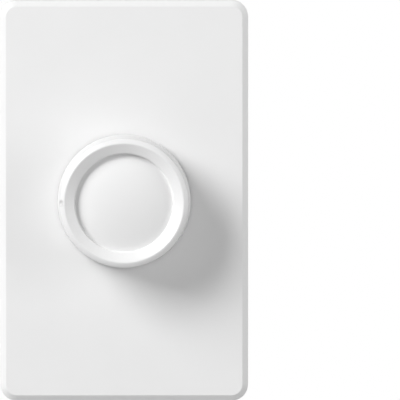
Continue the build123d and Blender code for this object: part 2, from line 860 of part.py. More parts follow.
with BuildPart() as pot_rotor:
    with BuildSketch(front(wiper_rear)):
        Circle(rotor_radius)
        with Locations((-lug_reach / 2, 0)):
            Rectangle(lug_reach, rotor_lug_width)
        Circle(shaft_radius + running_clearance, mode=Mode.SUBTRACT)
    extrude(amount=-rotor_thickness)
    with BuildSketch(front(wiper_rear)):
        Circle(shaft_radius + 2 * running_clearance)
        Rectangle(2 * rotor_radius, shaft_drive_flats + 2 * running_clearance, mode=Mode.SUBTRACT)
    extrude(amount=-rotor_thickness)
    with BuildSketch(front(rotor_rear)):
        with Locations((-dog_middle, 0)):
            Rectangle(dog_outer_radius - dog_inner_radius, dog_width)
    extrude(amount=-dog_length)
write(pot_rotor, "pot_rotor")

wiper_front = wiper_rear + wiper_thickness
track_middle = (track_inner_radius + track_outer_radius) / 2
collector_middle = (collector_inner_radius + collector_outer_radius) / 2

with BuildPart() as wiper:
    with BuildSketch(front(wiper_rear)):
        with Locations((-(collector_middle + track_middle) / 2, 0)):
            SlotOverall(track_middle - collector_middle + wiper_width, wiper_width)
    extrude(amount=wiper_thickness)
    with BuildSketch(front(wiper_front)):
        with Locations((-track_middle, 0), (-collector_middle, 0)):
            Circle(wiper_bead_radius)
    extrude(amount=wiper_stand_off - wiper_thickness - running_clearance)
write(wiper, "wiper")

# The three terminals are riveted to the wafer's tongue and bend back to the circuit board
with BuildPart() as pot_terminals:
    for x in (-terminal_pitch, 0, terminal_pitch):
        with BuildSketch(side(x)):
            with BuildLine():
                top = tongue_end + wafer_tongue_drop
                Polyline(
                    (top, wafer_rear),
                    (tongue_end, wafer_rear),
                    (tongue_end, pin_end),
                    (tongue_end + terminal_thickness, pin_end),
                    (tongue_end + terminal_thickness, wafer_rear - terminal_thickness),
                    (top, wafer_rear - terminal_thickness),
                    close=True,
                )
            make_face()
        extrude(amount=terminal_width / 2, both=True)
        terminal_hole_radius = terminal_width / 2 + 2 * running_clearance
        board_holes.append((x, tongue_end + terminal_thickness / 2, terminal_hole_radius))
write(pot_terminals, "pot_terminals")

# Switch: a moulded base behind the can, a toggle lever with a contact blade, and a fixed contact
lug_half_angle = math.degrees(math.asin(rotor_lug_width / 2 / stop_block_inner))
stop_clearance_angle = math.degrees(2 * running_clearance / stop_block_inner)
stop_block_half_angle = stop_half_angle - lug_half_angle - stop_clearance_angle
stop_block_front = wiper_rear
fixed_contact_rear_v = blade_thickness + contact_height + face_clearance
blade_plane = Plane(
    origin=(0, 0, -lever_pivot_radius),
    x_dir=(math.cos(math.radians(blade_angle)), 0, math.sin(math.radians(blade_angle))),
    z_dir=(0, -1, 0),
)


def blade_front(forward):
    """The front view turned so that local x runs along the contact blade from the lever's pivot."""
    return blade_plane.offset(forward)


with BuildPart() as switch_base:
    with BuildSketch(front(switch_front)):
        Circle(flange_radius)
    extrude(amount=can_rear - switch_front)
    with BuildSketch(front(can_rear)):
        Circle(can_radius)
    extrude(amount=-switch_back_thickness)
    with BuildSketch(front(stop_block_front)):
        with BuildLine():
            Polyline(
                wedge(-90 - stop_block_half_angle, -90 + stop_block_half_angle, 2 * can_radius), close=True
            )
        make_face()
        Circle(stop_block_outer, mode=Mode.INTERSECT)
        Circle(stop_block_inner, mode=Mode.SUBTRACT)
    extrude(amount=switch_front - stop_block_front)
    with BuildSketch(front(lever_front)):
        with Locations((0, -lever_pivot_radius)):
            Circle(lever_pin_radius)
    extrude(amount=switch_front - lever_front)
    with BuildSketch(blade_front(switch_front)):
        with Locations(
            (
                fixed_contact_start + fixed_contact_width / 2,
                fixed_contact_rear_v + fixed_contact_thickness / 2,
            )
        ):
            Rectangle(
                fixed_contact_width + 2 * face_clearance, fixed_contact_thickness + 2 * face_clearance
            )
    extrude(amount=-switch_flange_thickness - switch_back_thickness, mode=Mode.SUBTRACT)
write(switch_base, "switch_base")

with BuildPart() as switch_lever:
    with BuildSketch(front(lever_rear)):
        with Locations((0, -lever_pivot_radius)):
            Circle(lever_boss_radius)
        with Locations((0, -(dog_middle + lever_pivot_radius) / 2)):
            Rectangle(lever_stem_width, lever_pivot_radius - dog_middle)
        with Locations(((lever_head_right - lever_head_left) / 2, -dog_middle)):
            Rectangle(lever_head_left + lever_head_right, lever_head_height)
    extrude(amount=lever_thickness)
    with BuildSketch(blade_front(lever_rear)):
        with Locations((lever_arm_length / 2, -lever_arm_thickness / 2)):
            Rectangle(lever_arm_length, lever_arm_thickness)
    extrude(amount=lever_thickness)
    with BuildSketch(front(lever_rear)):
        with Locations((0, -lever_pivot_radius)):
            Circle(lever_pin_radius + running_clearance)
    extrude(amount=lever_thickness, mode=Mode.SUBTRACT)
write(switch_lever, "switch_lever")

blade_rear = lever_rear + (lever_thickness - blade_width) / 2
blade_start = lever_boss_radius + face_clearance
moving_contact_u = fixed_contact_start + contact_half_width

with BuildPart() as switch_blade:
    with BuildSketch(blade_front(blade_rear)):
        with Locations(((blade_start + blade_length) / 2, blade_thickness / 2)):
            Rectangle(blade_length - blade_start, blade_thickness)
        with Locations((moving_contact_u, blade_thickness + contact_height / 2)):
            Rectangle(2 * contact_half_width, contact_height)
    extrude(amount=blade_width)
write(switch_blade, "switch_blade")

with BuildPart() as fixed_contact:
    with BuildSketch(blade_front(lever_front)):
        with Locations(
            (
                fixed_contact_start + fixed_contact_width / 2,
                fixed_contact_rear_v + fixed_contact_thickness / 2,
            )
        ):
            Rectangle(fixed_contact_width, fixed_contact_thickness)
    extrude(amount=pin_end - lever_front)
    contact_place = fixed_contact.faces().sort_by(Axis.Y)[-1].center()
    board_holes.append((contact_place.X, contact_place.Z, fixed_contact_width / 2 + 2 * running_clearance))
write(fixed_contact, "fixed_contact")

# Triac, its thermal pad and the rivet that clamps its tab to the yoke
with BuildPart() as thermal_pad:
    with BuildSketch(front(0)):
        with Locations((triac_middle, top_bay_z)):
            Rectangle(triac_span + 2 * thermal_pad_margin, triac_width + 2 * thermal_pad_margin)
        with Locations((rivet_x, top_bay_z)):
            Circle(rivet_radius + running_clearance, mode=Mode.SUBTRACT)
    extrude(amount=-thermal_pad_thickness)
write(thermal_pad, "thermal_pad")

leg_front = triac_front - triac_thickness / 2

with BuildPart() as triac:
    with BuildSketch(front(triac_front)):
        with Locations((triac_middle, top_bay_z)):
            Rectangle(triac_span, triac_width)
        with Locations((rivet_x, top_bay_z)):
            Circle(rivet_radius + running_clearance, mode=Mode.SUBTRACT)
    extrude(amount=-triac_tab_thickness)
    with BuildSketch(front(triac_front)):
        with Locations((triac_right - triac_length / 2, top_bay_z)):
            Rectangle(triac_length, triac_width)
    extrude(amount=-triac_thickness)
    for step in (-1, 0, 1):
        leg_z = top_bay_z + step * triac_leg_pitch
        leg_x = triac_right + triac_leg_run
        with BuildSketch(cross_section(leg_z)):
            with BuildLine():
                Polyline(
                    (triac_right, leg_front),
                    (leg_x, leg_front),
                    (leg_x, pin_end),
                    (leg_x - triac_leg_thickness, pin_end),
                    (leg_x - triac_leg_thickness, leg_front - triac_leg_thickness),
                    (triac_right, leg_front - triac_leg_thickness),
                    close=True,
                )
            make_face()
        extrude(amount=triac_leg_thickness / 2, both=True)
        board_holes.append((leg_x - triac_leg_thickness / 2, leg_z, triac_leg_thickness))
write(triac, "triac")

with BuildPart() as triac_rivet:
    rivet_rear = triac_front - triac_tab_thickness
    with BuildSketch(front(yoke_thickness)):
        with Locations((rivet_x, top_bay_z)):
            Circle(rivet_head_radius)
    extrude(amount=rivet_head_height)
    with BuildSketch(front(yoke_thickness)):
        with Locations((rivet_x, top_bay_z)):
            Circle(rivet_radius)
    extrude(amount=rivet_rear - yoke_thickness)
    with BuildSketch(front(rivet_rear)):
        with Locations((rivet_x, top_bay_z)):
            Circle(rivet_head_radius)
    extrude(amount=-rivet_head_height)
write(triac_rivet, "triac_rivet")

# Choke: a ring core with a single layer of heavy wire, standing its flat side on the board
core_rear = board_front + choke_wire + face_clearance
core_front = core_rear + choke_height
winding_radius = choke_outer_radius + face_clearance + choke_wire
choke_x = -post_x + post_radius + face_clearance + winding_radius

with BuildPart() as choke_core:
    with BuildSketch(front(core_rear)):
        with Locations((choke_x, top_bay_z)):
            Circle(choke_outer_radius)
            Circle(choke_inner_radius, mode=Mode.SUBTRACT)
    extrude(amount=choke_height)
write(choke_core, "choke_core")

with BuildPart() as choke_winding:
    ring_middle = (choke_outer_radius + choke_inner_radius) / 2
    turn_width = choke_outer_radius - choke_inner_radius + 2 * face_clearance
    turn_height = choke_height + 2 * face_clearance
    for turn in range(choke_turns):
        turn_plane = cross_section(top_bay_z, choke_x).rotated((0, 360 * turn / choke_turns, 0))
        with BuildSketch(turn_plane):
            with Locations((ring_middle, (core_rear + core_front) / 2)):
                Rectangle(turn_width + 2 * choke_wire, turn_height + 2 * choke_wire)
                Rectangle(turn_width, turn_height, mode=Mode.SUBTRACT)
        extrude(amount=choke_wire / 2, both=True)
write(choke_winding, "choke_winding")

# Capacitors: potted boxes on two legs
with BuildPart() as line_capacitor:
    with BuildSketch(front(board_front)):
        with Locations((line_capacitor_x, top_bay_z)):
            Rectangle(line_capacitor_width, line_capacitor_length)
    extrude(amount=line_capacitor_height)
    fillet(line_capacitor.edges().filter_by(Axis.Y), radius=capacitor_edge_radius)
    for z in signs:
        leg(line_capacitor_x, top_bay_z + z * line_capacitor_leg_pitch / 2, board_front)
write(line_capacitor, "line_capacitor")

small_capacitor_step = (small_capacitor_length + 2 * assembly_clearance) / 2

with BuildPart() as timing_capacitors:
    for z in signs:
        with BuildSketch(front(board_front)):
            with Locations((small_capacitor_x, bottom_bay_z + z * small_capacitor_step)):
                Rectangle(small_capacitor_width, small_capacitor_length)
        extrude(amount=small_capacitor_height)
    fillet(timing_capacitors.edges().filter_by(Axis.Y), radius=capacitor_edge_radius)
    for z in signs:
        for x in signs:
            leg_x = small_capacitor_x + x * small_capacitor_leg_pitch / 2
            leg(leg_x, bottom_bay_z + z * small_capacitor_step, board_front)
write(timing_capacitors, "timing_capacitors")


def axial_component(x, z, radius, length):
    """A body lying on the board with a lead from each end, bent down and through it."""
    middle = board_front + radius
    reach = length / 2 + axial_lead_run
    with BuildSketch(side(x - length / 2)) as body:
        with Locations((z, middle)):
            Circle(radius)
    extrude(body.sketch, amount=length)
    for end in (-1, 1):
        with BuildLine() as lead:
            FilletPolyline(
                (x + end * length / 2, -middle, z),
                (x + end * reach, -middle, z),
                (x + end * reach, -pin_end, z),
                radius=2 * pin_radius,
            )
        with BuildSketch(Plane(origin=lead.line @ 0, z_dir=lead.line % 0)) as wire:
            Circle(pin_radius)
        sweep(wire.sketch, path=lead.line)
        board_holes.append((x + end * reach, z, pin_radius + running_clearance))


resistor_pitch = 2 * resistor_radius + 2 * assembly_clearance
resistor_x = (small_capacitor_x + trimmer_x) / 2

with BuildPart() as resistors:
    for z in signs:
        axial_component(resistor_x, bottom_bay_z + z * resistor_pitch / 2, resistor_radius, resistor_length)
write(resistors, "resistors")

diode_z = bottom_bay_z - resistor_pitch - diode_radius

with BuildPart() as trigger_diode:
    axial_component(resistor_x, diode_z, diode_radius, diode_length)
write(trigger_diode, "trigger_diode")

# Trimmer for the lowest speed: a slotted rotor in a square body, reached through the yoke
rotor_front = board_front + trimmer_height + trimmer_rotor_height - trimmer_rotor_seat

with BuildPart() as trimmer_body:
    with BuildSketch(front(board_front)):
        with Locations((trimmer_x, trimmer_z)):
            Rectangle(trimmer_width, trimmer_width)
    extrude(amount=trimmer_height)
    with BuildSketch(front(board_front + trimmer_height)):
        with Locations((trimmer_x, trimmer_z)):
            Circle(trimmer_rotor_radius + running_clearance)
    extrude(amount=-trimmer_rotor_seat - running_clearance, mode=Mode.SUBTRACT)
    trimmer_leg_reach = trimmer_leg_pitch / 2
    for x, z in ((-1, -1), (1, -1), (0, 1)):
        leg(trimmer_x + x * trimmer_leg_reach, trimmer_z + z * trimmer_leg_reach, board_front)
write(trimmer_body, "trimmer_body")

with BuildPart() as trimmer_rotor:
    with BuildSketch(front(rotor_front)):
        with Locations((trimmer_x, trimmer_z)):
            Circle(trimmer_rotor_radius)
    extrude(amount=-trimmer_rotor_height)
    with BuildSketch(front(rotor_front)):
        with Locations((trimmer_x, trimmer_z)):
            Rectangle(2 * trimmer_rotor_radius, trimmer_slot_width)
    extrude(amount=-trimmer_rotor_seat, mode=Mode.SUBTRACT)
write(trimmer_rotor, "trimmer_rotor")

# Circuit board, notched round the housing's posts and drilled for every leg
with BuildPart() as circuit_board:
    with BuildSketch(front(board_front)):
        Rectangle(board_width - 2 * assembly_clearance, board_height - 2 * assembly_clearance)
        with Locations([(x * post_x, z * post_z) for x, z in corners]):
            Circle(post_clear_radius, mode=Mode.SUBTRACT)
        with Locations([(x * cavity_width / 2, z * cavity_height / 2) for x, z in corners]):
            Rectangle(notch_width, 2 * post_clear_radius, mode=Mode.SUBTRACT)
            Rectangle(2 * post_clear_radius, notch_height, mode=Mode.SUBTRACT)
        for x, z, hole_radius in board_holes:
            with Locations((x, z)):
                Circle(hole_radius, mode=Mode.SUBTRACT)
    extrude(amount=-board_thickness)
write(circuit_board, "circuit_board")
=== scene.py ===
import json
import math

import bmesh
import bpy
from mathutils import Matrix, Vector


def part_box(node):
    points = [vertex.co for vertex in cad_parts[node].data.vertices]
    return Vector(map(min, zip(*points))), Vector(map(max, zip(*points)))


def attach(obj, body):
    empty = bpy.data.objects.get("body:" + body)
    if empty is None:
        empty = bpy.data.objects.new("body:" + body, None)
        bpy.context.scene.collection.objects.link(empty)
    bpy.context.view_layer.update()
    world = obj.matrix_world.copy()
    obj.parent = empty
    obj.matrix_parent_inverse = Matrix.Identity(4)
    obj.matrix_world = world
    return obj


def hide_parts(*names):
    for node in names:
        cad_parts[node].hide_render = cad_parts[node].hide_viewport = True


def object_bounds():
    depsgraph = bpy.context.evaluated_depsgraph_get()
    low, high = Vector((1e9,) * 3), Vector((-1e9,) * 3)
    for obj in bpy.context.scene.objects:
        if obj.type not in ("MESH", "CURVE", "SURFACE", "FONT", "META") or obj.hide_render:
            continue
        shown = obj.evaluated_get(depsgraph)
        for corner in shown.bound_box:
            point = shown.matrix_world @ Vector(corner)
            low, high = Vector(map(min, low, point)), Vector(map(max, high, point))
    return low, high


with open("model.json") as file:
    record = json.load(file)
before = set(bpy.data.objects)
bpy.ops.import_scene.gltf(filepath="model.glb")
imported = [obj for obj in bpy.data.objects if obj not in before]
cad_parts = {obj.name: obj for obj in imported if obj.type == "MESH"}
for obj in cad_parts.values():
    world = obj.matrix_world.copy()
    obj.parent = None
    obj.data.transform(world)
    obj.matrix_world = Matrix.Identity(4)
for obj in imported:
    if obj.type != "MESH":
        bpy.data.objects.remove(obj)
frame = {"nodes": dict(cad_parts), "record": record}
cad_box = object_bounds()
nodes = frame["nodes"]

MM = 0.001

# The photograph's frame, in its own pixels, and where the faceplate stands in it
IMAGE_WIDTH_PX = 400
PLATE_LEFT_PX = 0.2
PLATE_RIGHT_PX = 248.14

# Camera: a long lens a little above the plate's middle, in metres and degrees
CAMERA_DISTANCE = 2.5
CAMERA_ELEVATION = 2.2
CAMERA_AZIMUTH = -0.4
CAMERA_NEAREST = 0.1
CAMERA_FARTHEST = 20.0
SENSOR_WIDTH_MM = 36.0

# Light, in metres and watts: a large soft key at the upper left, a weak fill at the right, a dim surround
KEY_DIRECTION = (-0.662, -0.559, 0.499)
KEY_DISTANCE = 2.5
KEY_SIZE = 1.3
KEY_POWER = 63.0
FILL_DIRECTION = (0.9, -0.4, 0.1)
FILL_DISTANCE = 2.0
FILL_SIZE = 1.2
FILL_POWER = 13.0
SURROUND_BELOW = 0.28
SURROUND_ABOVE = 0.2

# Floor: a round sheet below the object. Its first tone is what is seen, its second what lights the object
FLOOR_DROP = 0.05
FLOOR_RADIUS = 0.72
FLOOR_SIDES = 96
FLOOR_SEEN = (246, 246, 246)
FLOOR_THROWN = (200, 200, 200)

# Materials: the roughness of their noise, the span that most of its values lie in, and how plastic refracts
NOISE_ROUGHNESS = 0.55
NOISE_LOW = 0.3
NOISE_HIGH = 0.7
PLASTIC_IOR = 1.49

# Indicator: painted shade, a soft spot that darkens the colour of the dimple on the knob's rim, and of the
# rim just round it, a little below the rest of the rim.
# Its painted shade is whole out to the core's share of its reach and gone at the edge's
INDICATOR_CENTRE = (-17.75 * MM, -23.45 * MM, 0.0)
INDICATOR_REACH = (0.85 * MM, 0.8 * MM, 1.05 * MM)
INDICATOR_PAINTED_SHADE = 0.8
SPOT_CORE = 0.6
SPOT_EDGE = 1.2

# Knob: the sizes of its turned section, from its axis and from the wall, by which its normals are set
CREST_RADIUS = 16.85 * MM
CREST_FORWARD = 24.0 * MM
CREST_BLEND = 0.6 * MM
SHOULDER_RADIUS = 18.3 * MM
SHOULDER_BLEND = 0.45 * MM
SKIRT_RADIUS = 18.95 * MM
SKIRT_FORWARD = 7.6 * MM
RIM_ANGLE = 30.0
RIM_BULGE = 0.07 * MM
DISH_ANGLE = 30.0
LIP_RADIUS = 14.15 * MM
STEP_HEIGHT = 2.0 * MM
DOME_RADIUS = 46.0 * MM
STEP_BLEND = 0.4 * MM
DIMPLE_RADIUS = 17.8 * MM
DIMPLE_WIDTH = 1.6 * MM
DIMPLE_DEPTH = 0.25 * MM

# How far a point may lie off a form of the section and past its ends, and how near to the lip's sharp edge
FORM_REACH = 0.004 * MM
END_REACH = 0.01 * MM
SLOPE_REACH = 1.0
LIP_EDGE_REACH = 0.05 * MM

# How near to the knob's axis a point counts as its pole, and how far a normal may be turned to its form
POLE_REACH = 0.01 * MM
LARGEST_TURN = math.radians(50)

# Box screws: a No. 6-32 thread on the shank that the frame holds as a plain cylinder, the end of the plain
# neck before it, and how near two points are that become one
THREAD_PITCH = 25.4 / 32 * MM
THREAD_DEPTH = 0.45 * MM
THREAD_STEEPNESS = 1.15
THREAD_ROWS_PER_PITCH = 12
THREAD_SIDES = 40
THREAD_SHARP_ANGLE = math.radians(35)
NECK_END = 0.45 * MM
NECK_OVERLAP = 0.01 * MM
TIP_CHAMFER = 0.6 * MM
WELD_REACH = 0.001 * MM


# Material building blocks

def linear(*srgb):
    """A colour read as 0 to 255 sRGB, in the linear values that a shader takes."""
    return [((c / 255 + 0.055) / 1.055) ** 2.4 if c > 10 else c / 255 / 12.92 for c in srgb]


def new_material(name):
    """A new node material and its principled shader."""
    material = bpy.data.materials.new(name)
    material.use_nodes = True
    return material, material.node_tree.nodes["Principled BSDF"]


def add_node(owner, kind, **settings):
    """A node in the tree of a material or a world. A setting that names an input sets its value."""
    node = owner.node_tree.nodes.new(kind)
    for key, value in settings.items():
        if key in node.inputs:
            node.inputs[key].default_value = value
        else:
            setattr(node, key, value)
    return node


def join(owner, source, target):
    """Links an output to an input in the tree of a material or a world."""
    owner.node_tree.links.new(source, target)


def any_ray(owner, *kinds):
    """A value that is 1 for rays of the named kinds and 0 for all others."""
    path = add_node(owner, "ShaderNodeLightPath")
    value = path.outputs[kinds[0]]
    for kind in kinds[1:]:
        either = add_node(owner, "ShaderNodeMath", operation="MAXIMUM")
        join(owner, value, either.inputs[0])
        join(owner, path.outputs[kind], either.inputs[1])
        value = either.outputs["Value"]
    return value


def grain(material, size, stretch=(1, 1, 1), detail=3.0):
    """Noise with features about size metres across, drawn out along each axis by its own factor."""
    place = add_node(material, "ShaderNodeTexCoord")
    mapping = add_node(material, "ShaderNodeMapping")
    mapping.inputs["Scale"].default_value = [1 / (size * factor) for factor in stretch]
    noise = add_node(material, "ShaderNodeTexNoise", Scale=1.0, Detail=detail, Roughness=NOISE_ROUGHNESS)
    join(material, place.outputs["Object"], mapping.inputs["Vector"])
    join(material, mapping.outputs["Vector"], noise.inputs["Vector"])
    return noise.outputs["Fac"]


def vary_colour(material, shader, value, colour, change):
    """The base colour, a little darker and lighter with a noise value."""
    ramp = add_node(material, "ShaderNodeValToRGB")
    ramp.color_ramp.elements[0].position = NOISE_LOW
    ramp.color_ramp.elements[0].color = [*(c * (1 - change) for c in colour), 1]
    ramp.color_ramp.elements[1].position = NOISE_HIGH
    ramp.color_ramp.elements[1].color = [*(min(1.0, c * (1 + change)) for c in colour), 1]
    join(material, value, ramp.inputs["Fac"])
    join(material, ramp.outputs["Color"], shader.inputs["Base Color"])


def vary_roughness(material, shader, value, low, high):
    """The roughness, spread between two numbers by a noise value."""
    remap = add_node(
        material,
        "ShaderNodeMapRange",
        **{"From Min": NOISE_LOW, "From Max": NOISE_HIGH, "To Min": low, "To Max": high},
    )
    join(material, value, remap.inputs["Value"])
    join(material, remap.outputs["Result"], shader.inputs["Roughness"])


def relief(material, shader, value, height):
    """Fine relief of a height in metres."""
    bump = add_node(material, "ShaderNodeBump", Strength=1.0, Distance=height)
    join(material, value, bump.inputs["Height"])
    join(material, bump.outputs["Normal"], shader.inputs["Normal"])


# Materials

def moulded(
    name, colour, roughness=(0.38, 0.46), change=0.006, flow=18 * MM, pebble=0.35 * MM, height=0.006 * MM
):
    """A moulded plastic: an even colour, slow changes of gloss and a fine pebbled skin."""
    material, shader = new_material(name)
    shader.inputs["IOR"].default_value = PLASTIC_IOR
    clouds = grain(material, flow, detail=2.0)
    vary_colour(material, shader, clouds, colour, change)
    vary_roughness(material, shader, clouds, *roughness)
    relief(material, shader, grain(material, pebble), height)
    return material


def painted_shade_spot(material, centre, reach, shade):
    """Painted shade: darkens the base colour round a point, in a soft spot with a reach along each axis."""
    shader = material.node_tree.nodes["Principled BSDF"]
    colour = shader.inputs["Base Color"].links[0].from_socket
    place = add_node(material, "ShaderNodeTexCoord")
    mapping = add_node(material, "ShaderNodeMapping")
    mapping.inputs["Scale"].default_value = [1 / length for length in reach]
    mapping.inputs["Location"].default_value = [-middle / length for middle, length in zip(centre, reach)]
    distance = add_node(material, "ShaderNodeVectorMath", operation="LENGTH")
    level = add_node(
        material,
        "ShaderNodeMapRange",
        interpolation_type="SMOOTHSTEP",
        **{"From Min": SPOT_CORE, "From Max": SPOT_EDGE, "To Min": shade, "To Max": 1.0},
    )
    mix = add_node(material, "ShaderNodeMixRGB", blend_type="MULTIPLY", Fac=1.0)
    join(material, place.outputs["Object"], mapping.inputs["Vector"])
    join(material, mapping.outputs["Vector"], distance.inputs[0])
    join(material, distance.outputs["Value"], level.inputs["Value"])
    join(material, colour, mix.inputs["Color1"])
    join(material, level.outputs["Result"], mix.inputs["Color2"])
    join(material, mix.outputs["Color"], shader.inputs["Base Color"])


def rolled_metal(
    name, colour, roughness=(0.28, 0.4), change=0.05, line=0.25 * MM, cloud=9 * MM, height=0.002 * MM
):
    """A sheet metal with the lines of its rolling along Z."""
    material, shader = new_material(name)
    shader.inputs["Metallic"].default_value = 1.0
    lines = grain(material, line, stretch=(1, 1, 30))
    vary_colour(material, shader, grain(material, cloud), colour, change)
    vary_roughness(material, shader, lines, *roughness)
    relief(material, shader, lines, height)
    return material


def plated_metal(
    name, colour, roughness=(0.25, 0.36), change=0.06, spot=0.6 * MM, pit=0.12 * MM, height=0.0015 * MM
):
    """A small turned or stamped metal piece with a thin plating."""
    material, shader = new_material(name)
    shader.inputs["Metallic"].default_value = 1.0
    spots = grain(material, spot)
    vary_colour(material, shader, spots, colour, change)
    vary_roughness(material, shader, spots, *roughness)
    relief(material, shader, grain(material, pit), height)
    return material


def pressed_board(name, colour, change=0.12, fibre=0.5 * MM, roughness=(0.5, 0.65), height=0.01 * MM):
    """A pressed fibre or paper board with flecks that run across it."""
    material, shader = new_material(name)
    flecks = grain(material, fibre, stretch=(3, 1, 1), detail=5.0)
    vary_colour(material, shader, flecks, colour, change)
    vary_roughness(material, shader, flecks, *roughness)
    relief(material, shader, flecks, height)
    return material


def lacquered_wire(name, colour, roughness=(0.25, 0.4), change=0.1, streak=0.4 * MM, coat=(0.6, 0.15)):
    """Enamelled copper: metal under a clear coat with a weight and a roughness."""
    material, shader = new_material(name)
    shader.inputs["Metallic"].default_value = 1.0
    shader.inputs["Coat Weight"].default_value = coat[0]
    shader.inputs["Coat Roughness"].default_value = coat[1]
    streaks = grain(material, streak)
    vary_colour(material, shader, streaks, colour, change)
    vary_roughness(material, shader, streaks, *roughness)
    return material


def banded_body(name, colour, bands, pitch, gap=0.6, roughness=(0.3, 0.42), mottle=0.5 * MM):
    """A lacquered body with rings of colour across X, a gap that is a share of the pitch apart."""
    material, shader = new_material(name)
    place = add_node(material, "ShaderNodeTexCoord")
    split = add_node(material, "ShaderNodeSeparateXYZ")
    scale = add_node(material, "ShaderNodeMath", operation="DIVIDE")
    fraction = add_node(material, "ShaderNodeMath", operation="FRACT")
    ramp = add_node(material, "ShaderNodeValToRGB")
    scale.inputs[1].default_value = pitch
    ramp.color_ramp.interpolation = "CONSTANT"
    ramp.color_ramp.elements[0].color = [*colour, 1]
    ramp.color_ramp.elements[1].position = gap
    ramp.color_ramp.elements[1].color = [*bands, 1]
    join(material, place.outputs["Object"], split.inputs["Vector"])
    join(material, split.outputs["X"], scale.inputs[0])
    join(material, scale.outputs["Value"], fraction.inputs[0])
    join(material, fraction.outputs["Value"], ramp.inputs["Fac"])
    join(material, ramp.outputs["Color"], shader.inputs["Base Color"])
    vary_roughness(material, shader, grain(material, mottle), *roughness)
    return material


SLOT_MATERIALS = {
    "white_plastic": moulded("plate_plastic", linear(236, 236, 236)),
    "knob_plastic": moulded("knob_plastic", linear(236, 236, 236), roughness=(0.34, 0.42)),
    "spring_steel": plated_metal("spring_steel", linear(150, 152, 158)),
    "zinc_metal": plated_metal("zinc_plate", linear(196, 199, 203)),
    "yoke_aluminium": rolled_metal("yoke_aluminium", linear(212, 214, 217)),
    "screw_steel": plated_metal("screw_steel", linear(205, 204, 198)),
    "fibre": pressed_board("fibre", linear(196, 184, 152)),
    "ground_green": plated_metal("ground_green", linear(40, 132, 70), roughness=(0.3, 0.42)),
    "black_plastic": moulded(
        "housing_plastic", linear(38, 38, 40), roughness=(0.42, 0.52), change=0.06, height=0.012 * MM
    ),
    "phenolic": pressed_board("phenolic", linear(122, 82, 50)),
    "carbon": moulded("carbon_ink", linear(34, 34, 34), roughness=(0.5, 0.6), change=0.1),
    "brass_metal": plated_metal("brass", linear(205, 172, 98)),
    "pad_grey": moulded("thermal_pad", linear(164, 168, 174), roughness=(0.7, 0.8), change=0.04),
    "component_black": moulded("epoxy_case", linear(34, 34, 35), roughness=(0.5, 0.6), change=0.08),
    "ferrite": pressed_board("ferrite", linear(58, 58, 61), change=0.15, fibre=0.2 * MM),
    "copper_wire": lacquered_wire("copper_wire", linear(196, 110, 60)),
    "capacitor_yellow": moulded("capacitor_yellow", linear(222, 178, 52), change=0.04),
    "capacitor_red": moulded("capacitor_red", linear(158, 52, 38), change=0.04),
    "resistor_body": banded_body("resistor_body", linear(206, 178, 128), linear(120, 60, 30), 1.3 * MM),
    "diode_blue": moulded("diode_glass", linear(84, 116, 168), roughness=(0.1, 0.2), change=0.05),
    "trimmer_blue": moulded("trimmer_blue", linear(34, 72, 160), change=0.04),
    "trimmer_white": moulded("trimmer_white", linear(226, 226, 218), change=0.02),
    "board_green": pressed_board("circuit_board", linear(30, 104, 60), change=0.1, roughness=(0.3, 0.4)),
}

# Painted shade on the knob's colour, in and round its indicator dimple
painted_shade_spot(SLOT_MATERIALS["knob_plastic"], INDICATOR_CENTRE, INDICATOR_REACH, INDICATOR_PAINTED_SHADE)

for subpart in frame["record"]["subparts"]:
    node_data = nodes[subpart["node"]].data
    node_data.materials.clear()
    node_data.materials.append(SLOT_MATERIALS[subpart["material_slot"]])


# Knob with even shading

def leaning(slope):
    """The unit vector that leans from the axis by a slope in degrees, as its outward and forward parts."""
    return Vector((math.sin(math.radians(slope)), math.cos(math.radians(slope))))


def slope_of(vector):
    """How far a vector leans away from the axis, in degrees."""
    return math.degrees(math.atan2(vector.x, vector.y))


def rim_blend(rim_centre, rim_bend, corner, slope, bend, side):
    """The centre of the blend between the rim's circle and a straight line that meet at a corner.

    The side is 1 for the line inside the rim and -1 for the one outside it.
    """
    across = leaning(slope)
    along = Vector((across.y, -across.x))
    depth = (corner - rim_centre).dot(across) - bend
    reach = math.sqrt((rim_bend - bend) ** 2 - depth**2)
    return rim_centre + depth * across + side * reach * along


